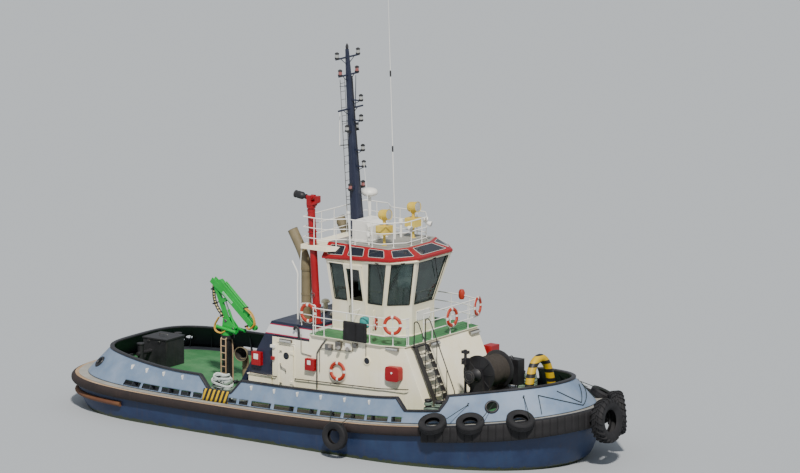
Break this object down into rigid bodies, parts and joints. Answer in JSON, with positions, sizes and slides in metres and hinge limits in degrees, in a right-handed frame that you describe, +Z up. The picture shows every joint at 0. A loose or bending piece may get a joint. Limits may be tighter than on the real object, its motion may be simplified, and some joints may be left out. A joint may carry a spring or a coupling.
{
  "type": "harbour tug",
  "caption": "Harbour tug afloat, with wheelhouse, mast, folding deck crane, towing winch and staple, fire monitor, fendered bow and steerable thrusters in nozzles.",
  "frame": {"origin": "on the waterline amidships, on the centreline", "axes": "+X to the bow, +Y to port, +Z up"},
  "size_m": [22.9713, 9.478, 19.5803],
  "materials": {
    "hull_paint": "weathered satin",
    "deck_paint": "matte",
    "bulwark_paint": "weathered satin",
    "strake_paint": "rusty matte",
    "fender_rubber": "matte",
    "tyre_rubber": "matte",
    "house_paint": "semi-gloss",
    "casing_paint": "semi-gloss",
    "exhaust_paint": "matte",
    "window_glass": "clear",
    "roof_paint": "semi-gloss",
    "console_plastic": "matte",
    "white_paint": "semi-gloss",
    "white_plastic": "gloss",
    "light_paint": "semi-gloss",
    "black_paint": "satin",
    "crane_paint": "semi-gloss",
    "rod_chrome": "polished",
    "drive_paint": "matte",
    "propeller_bronze": "satin"
  },
  "bodies": {
    "tug": {"hull": "hull_paint", "main_deck": "deck_paint", "bulwark_stern": "bulwark_paint", "bulwark_mid_starboard": "bulwark_paint", "bulwark_mid_port": "bulwark_paint", "bulwark_bow": "bulwark_paint", "rubbing_strake": "strake_paint", "lower_stern_strake": "strake_paint", "bow_fender": "fender_rubber", "side_tyre_starboard": "tyre_rubber", "side_tyre_port": "tyre_rubber", "deckhouse": "house_paint", "engine_casing": "casing_paint", "exhaust_starboard": "exhaust_paint", "exhaust_port": "exhaust_paint", "bridge_deck": "deck_paint", "wheelhouse": "house_paint", "glazing_front": "window_glass", "glazing_aft": "window_glass", "wheelhouse_roof": "roof_paint", "helm_station": "console_plastic", "roof_railing": "white_paint", "bridge_railing_starboard": "white_paint", "bridge_railing_port": "white_paint", "bridge_stairs": "black_paint", "mast": "casing_paint", "radar_dome": "white_plastic", "tall_whip": "white_plastic", "roof_locker": "white_paint", "monitor_riser": "roof_paint", "winch_frame": "black_paint", "towing_staple": "black_paint", "bitts_fore_starboard": "black_paint", "bitts_fore_port": "black_paint", "bitts_aft_starboard": "black_paint", "bitts_aft_port": "black_paint", "stern_locker": "black_paint", "cowl_vent": "exhaust_paint", "crane_pedestal": "exhaust_paint"},
    "deckhouse_door_starboard": {"deckhouse_door_starboard": "house_paint"},
    "deckhouse_door_port": {"deckhouse_door_port": "house_paint"},
    "wheelhouse_door_starboard": {"wheelhouse_door_starboard": "house_paint"},
    "wheelhouse_door_port": {"wheelhouse_door_port": "house_paint"},
    "searchlight_starboard": {"searchlight_starboard": "light_paint"},
    "searchlight_port": {"searchlight_port": "light_paint"},
    "monitor_head": {"monitor_head": "roof_paint"},
    "monitor_barrel": {"monitor_barrel": "roof_paint"},
    "winch_drum": {"winch_drum": "black_paint"},
    "crane_column": {"crane_column": "crane_paint"},
    "crane_main_boom": {"crane_main_boom": "crane_paint"},
    "crane_outer_boom": {"crane_outer_boom": "crane_paint"},
    "crane_extension": {"crane_extension": "crane_paint"},
    "crane_cylinder": {"crane_cylinder": "crane_paint"},
    "crane_cylinder_rod": {"crane_cylinder_rod": "rod_chrome"},
    "thruster_starboard": {"thruster_starboard": "drive_paint"},
    "thruster_port": {"thruster_port": "drive_paint"},
    "propeller_starboard": {"propeller_starboard": "propeller_bronze"},
    "propeller_port": {"propeller_port": "propeller_bronze"}
  },
  "joints": [
    {"name": "deckhouse_door_starboard_hinge", "type": "hinge", "parent": "tug", "child": "deckhouse_door_starboard", "pos_m": [-0.822, -2.518, 2.5], "axis": [0, 0, 1], "range_deg": [0, 110]},
    {"name": "deckhouse_door_port_hinge", "type": "hinge", "parent": "tug", "child": "deckhouse_door_port", "pos_m": [-0.822, 2.518, 2.5], "axis": [0, 0, 1], "range_deg": [-110, 0]},
    {"name": "wheelhouse_door_starboard_slide", "type": "slide", "parent": "tug", "child": "wheelhouse_door_starboard", "axis": [1, 0, 0], "range_m": [-0.7, 0]},
    {"name": "wheelhouse_door_port_slide", "type": "slide", "parent": "tug", "child": "wheelhouse_door_port", "axis": [1, 0, 0], "range_m": [-0.7, 0]},
    {"name": "searchlight_starboard_pan", "type": "hinge", "parent": "tug", "child": "searchlight_starboard", "pos_m": [2.15, -0.9, 8.1], "axis": [0, 0, 1], "range_deg": [-170, 170]},
    {"name": "searchlight_port_pan", "type": "hinge", "parent": "tug", "child": "searchlight_port", "pos_m": [2.15, 0.9, 8.1], "axis": [0, 0, 1], "range_deg": [-170, 170]},
    {"name": "monitor_turn", "type": "hinge", "parent": "tug", "child": "monitor_head", "pos_m": [-0.55, -1.75, 8.5], "axis": [0, 0, 1], "range_deg": [-170, 170]},
    {"name": "monitor_elevation", "type": "hinge", "parent": "monitor_head", "child": "monitor_barrel", "pos_m": [-0.55, -1.75, 8.87], "axis": [0, 1, 0], "range_deg": [-20, 80]},
    {"name": "winch_drum_turn", "type": "hinge", "parent": "tug", "child": "winch_drum", "pos_m": [6.2, 0, 2.93], "axis": [0, 1, 0], "continuous": true},
    {"name": "crane_slew", "type": "hinge", "parent": "tug", "child": "crane_column", "pos_m": [-5, -1, 3.06], "axis": [0, 0, 1], "range_deg": [-175, 175]},
    {"name": "crane_main_luff", "type": "hinge", "parent": "crane_column", "child": "crane_main_boom", "pos_m": [-5, -1, 3.6], "axis": [0, 1, 0], "range_deg": [-10, 55]},
    {"name": "crane_outer_fold", "type": "hinge", "parent": "crane_main_boom", "child": "crane_outer_boom", "pos_m": [-5.6, -1, 5], "axis": [0, 1, 0], "range_deg": [-150, 0]},
    {"name": "crane_extension_slide", "type": "slide", "parent": "crane_outer_boom", "child": "crane_extension", "axis": [0.7557, 0, -0.6549], "range_m": [0, 0.8]},
    {"name": "crane_cylinder_swing", "type": "hinge", "parent": "crane_column", "child": "crane_cylinder", "pos_m": [-4.66, -1, 3.34], "axis": [0, 1, 0], "range_deg": [-8, 40]},
    {"name": "crane_rod_slide", "type": "slide", "parent": "crane_cylinder", "child": "crane_cylinder_rod", "axis": [-0.4022, 0, 0.9156], "range_m": [-0.3, 0.06]},
    {"name": "thruster_starboard_steer", "type": "hinge", "parent": "tug", "child": "thruster_starboard", "pos_m": [-7.4, -1.95, -1.3], "axis": [0, 0, 1], "continuous": true},
    {"name": "thruster_port_steer", "type": "hinge", "parent": "tug", "child": "thruster_port", "pos_m": [-7.4, 1.95, -1.3], "axis": [0, 0, 1], "continuous": true},
    {"name": "propeller_starboard_spin", "type": "hinge", "parent": "thruster_starboard", "child": "propeller_starboard", "pos_m": [-8, -1.95, -2.36], "axis": [1, 0, 0], "continuous": true},
    {"name": "propeller_port_spin", "type": "hinge", "parent": "thruster_port", "child": "propeller_port", "pos_m": [-8, 1.95, -2.36], "axis": [1, 0, 0], "continuous": true}
  ],
  "couplings": [
    {"joint": "crane_cylinder_swing", "follows": "crane_main_luff", "ratio": 0.71},
    {"joint": "crane_rod_slide", "follows": "crane_main_luff", "m_per_rad": -0.3}
  ]
}
